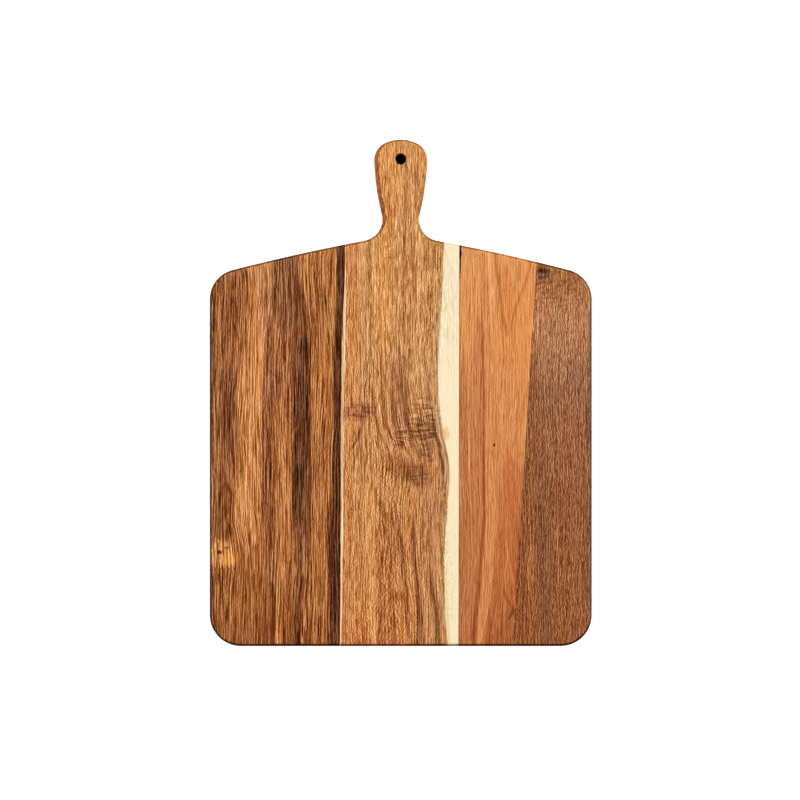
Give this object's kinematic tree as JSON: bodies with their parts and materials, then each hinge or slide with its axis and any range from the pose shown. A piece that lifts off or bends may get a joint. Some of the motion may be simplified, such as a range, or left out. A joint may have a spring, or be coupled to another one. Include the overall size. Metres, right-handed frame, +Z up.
{
  "type": "paddle charcuterie board",
  "caption": "Flat rectangular serving board with rounded corners, glued edge to edge from wooden staves, with a short shaped handle and a hanging hole.",
  "frame": {"origin": "middle of the underside of the box that holds the whole board", "axes": "+X to the board's right as it is seen in the picture, +Y along the board towards the tip of the handle, +Z up out of the serving face"},
  "size_m": [0.33, 0.4375, 0.015],
  "materials": {
    "red_brown_acacia": "oiled satin",
    "gold_acacia": "oiled satin",
    "orange_acacia": "oiled satin",
    "walnut_brown_acacia": "oiled satin",
    "cured_glue": "dull brown film"
  },
  "bodies": {
    "root": {"left_stave": "red_brown_acacia", "centre_stave": "gold_acacia", "orange_stave": "orange_acacia", "brown_stave": "walnut_brown_acacia", "left_glue_line": "cured_glue", "middle_glue_line": "cured_glue", "right_glue_line": "cured_glue"}
  },
  "joints": []
}
